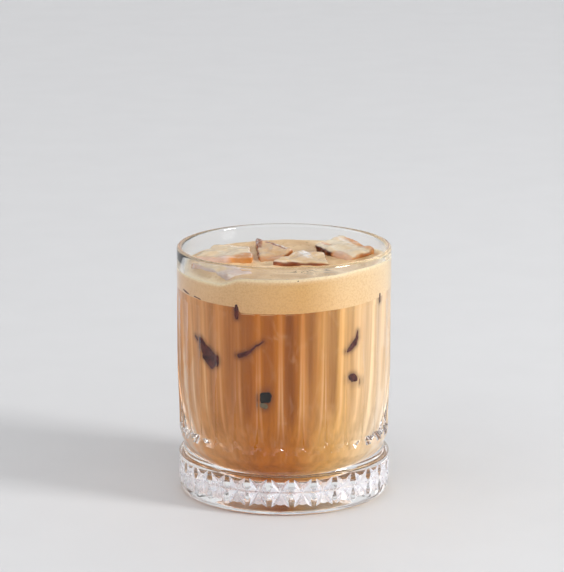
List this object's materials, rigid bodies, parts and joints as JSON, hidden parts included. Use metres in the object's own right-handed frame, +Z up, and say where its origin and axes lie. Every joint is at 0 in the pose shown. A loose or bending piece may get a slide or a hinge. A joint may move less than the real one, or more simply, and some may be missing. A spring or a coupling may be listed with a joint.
{
  "type": "iced milk coffee in a cut-glass tumbler",
  "caption": "Short fluted glass tumbler with a star-cut foot, filled with iced milk coffee under a thick layer of pale foam, with ice blocks breaking the surface.",
  "frame": {"origin": "middle of the glass's underside, at the level of the surface that it stands on; the underside is slightly hollow there, so the glass touches the surface on a flat ring", "axes": "+Z up along the glass's axis; -Y is the side that faces the viewer in the picture, and +X is to the viewer's right"},
  "size_m": [0.0834, 0.0834, 0.0975],
  "materials": {
    "glass": "clear, fire-polished, with cut stars",
    "coffee": "opaque milky coffee",
    "foam": "fine soft foam",
    "ice": "melting ice with a milky film"
  },
  "bodies": {
    "root": {"glass": "glass", "coffee": "coffee", "foam": "foam", "ice_left": "ice", "ice_back": "ice", "ice_middle": "ice", "ice_right": "ice", "ice_front": "ice"}
  },
  "joints": []
}
